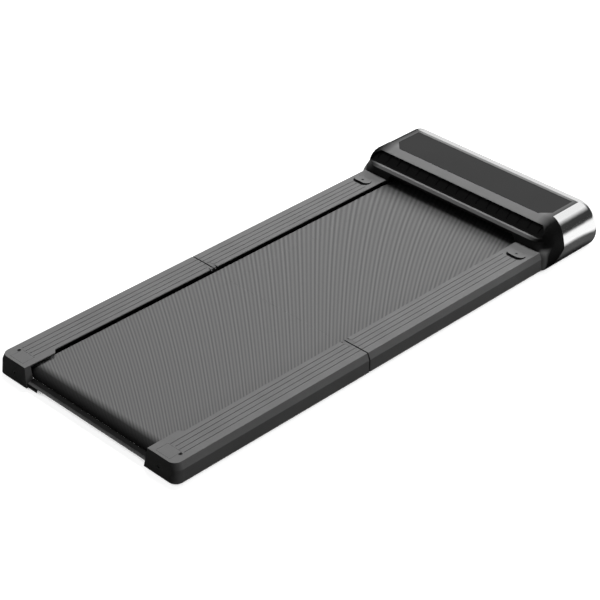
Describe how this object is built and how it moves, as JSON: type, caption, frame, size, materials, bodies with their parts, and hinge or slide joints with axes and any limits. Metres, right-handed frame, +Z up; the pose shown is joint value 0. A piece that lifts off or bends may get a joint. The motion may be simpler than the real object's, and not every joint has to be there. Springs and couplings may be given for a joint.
{
  "type": "walking pad",
  "caption": "Low folding walking pad: ribbed belt between grooved rails, vented motor head with dark panel and bright shell, rear half folds over.",
  "frame": {"origin": "middle of the footprint at floor level", "axes": "+Y towards the motor head, +Z up, +X to the walker's right"},
  "size_m": [0.633, 1.443, 0.121],
  "materials": {
    "rail_plastic": "fine satin",
    "buffer_plastic": "satin",
    "hood_plastic": "fine satin",
    "grille_plastic": "matte",
    "panel_gloss": "satin gloss",
    "bright_shell": "polished",
    "belt_rubber": "finely ribbed",
    "drive_rubber": "matte",
    "frame_paint": "satin black",
    "guard_plastic": "satin",
    "pan_plastic": "matte",
    "deck_wood": "waxed board",
    "foot_rubber": "matte",
    "hinge_steel": "satin grey",
    "bare_steel": "brushed",
    "screw_black": "blackened",
    "motor_paint": "satin black",
    "pulley_plastic": "matte",
    "circuit_board": "solder mask",
    "sink_aluminium": "plain",
    "black_plastic": "matte",
    "rocker_plastic": "gloss",
    "wheel_plastic": "matte"
  },
  "bodies": {
    "front": {"front_rail_left": "rail_plastic", "front_rail_right": "rail_plastic", "front_side_tubes": "frame_paint", "front_cross_members": "frame_paint", "front_deck": "deck_wood", "front_deck_cushions": "foot_rubber", "front_bottom_pan": "pan_plastic", "front_feet": "foot_rubber", "front_hinge_blocks": "hinge_steel", "fold_buffer_left": "buffer_plastic", "fold_buffer_right": "buffer_plastic", "buffer_screws": "screw_black", "walking_belt_front": "belt_rubber", "front_axle": "bare_steel", "front_axle_blocks": "bare_steel", "head_hood": "hood_plastic", "bright_shell": "bright_shell", "vent_grille": "grille_plastic", "top_panel": "panel_gloss", "display_board": "circuit_board", "head_tray": "frame_paint", "motor_case": "motor_paint", "motor_saddle": "frame_paint", "drive_belt": "drive_rubber", "control_board": "circuit_board", "heat_sink": "sink_aluminium", "power_plate": "black_plastic", "power_inlet": "black_plastic", "switch_frame": "black_plastic", "wheel_axles": "bare_steel", "wheel_forks": "bare_steel"},
    "hinge_link": {"hinge_links": "hinge_steel", "hinge_pins": "bare_steel"},
    "rear": {"rear_rail_left": "rail_plastic", "rear_rail_right": "rail_plastic", "rear_side_tubes": "frame_paint", "rear_cross_members": "frame_paint", "rear_deck": "deck_wood", "rear_deck_cushions": "foot_rubber", "rear_bottom_pan": "pan_plastic", "rear_feet": "foot_rubber", "rear_hinge_blocks": "hinge_steel", "landing_pads": "rail_plastic", "corner_screws": "screw_black", "walking_belt_rear": "belt_rubber", "rear_guard": "guard_plastic", "rear_axle": "bare_steel", "rear_axle_blocks": "bare_steel", "tension_bolts": "screw_black"},
    "front_roller": {"front_roller": "bare_steel", "front_roller_bearings": "bare_steel", "roller_pulley": "pulley_plastic"},
    "rear_roller": {"rear_roller": "bare_steel", "rear_roller_bearings": "bare_steel"},
    "motor_rotor": {"motor_shaft": "bare_steel", "motor_pulley": "pulley_plastic", "motor_fan": "pulley_plastic"},
    "wheel_left": {"transport_wheel_left": "wheel_plastic"},
    "wheel_right": {"transport_wheel_right": "wheel_plastic"},
    "rocker": {"power_rocker": "rocker_plastic"}
  },
  "joints": [
    {"name": "hinge_link_fold", "type": "hinge", "parent": "front", "child": "hinge_link", "pos_m": [0, -0.112, 0.054], "axis": [-1, 0, 0], "range_deg": [0, 90]},
    {"name": "rear_half_fold", "type": "hinge", "parent": "hinge_link", "child": "rear", "pos_m": [0, -0.125, 0.054], "axis": [-1, 0, 0], "range_deg": [0, 90]},
    {"name": "front_roller_spin", "type": "hinge", "parent": "front", "child": "front_roller", "pos_m": [0, 0.537, 0.0294], "axis": [1, 0, 0], "continuous": true},
    {"name": "rear_roller_spin", "type": "hinge", "parent": "rear", "child": "rear_roller", "pos_m": [0, -0.6795, 0.0294], "axis": [1, 0, 0], "continuous": true},
    {"name": "motor_spin", "type": "hinge", "parent": "front", "child": "motor_rotor", "pos_m": [0, 0.6435, 0.06], "axis": [1, 0, 0], "continuous": true},
    {"name": "wheel_left_spin", "type": "hinge", "parent": "front", "child": "wheel_left", "pos_m": [0, 0.703, 0.016], "axis": [1, 0, 0], "continuous": true},
    {"name": "wheel_right_spin", "type": "hinge", "parent": "front", "child": "wheel_right", "pos_m": [0, 0.703, 0.016], "axis": [1, 0, 0], "continuous": true},
    {"name": "power_rocker_tilt", "type": "hinge", "parent": "front", "child": "rocker", "pos_m": [0.172, 0.7146, 0.046], "axis": [-1, 0, 0], "range_deg": [0, 14]}
  ],
  "couplings": [
    {"joint": "hinge_link_fold", "follows": "rear_half_fold", "ratio": 1},
    {"joint": "rear_roller_spin", "follows": "front_roller_spin", "ratio": 1},
    {"joint": "motor_spin", "follows": "front_roller_spin", "ratio": 2.1111}
  ]
}
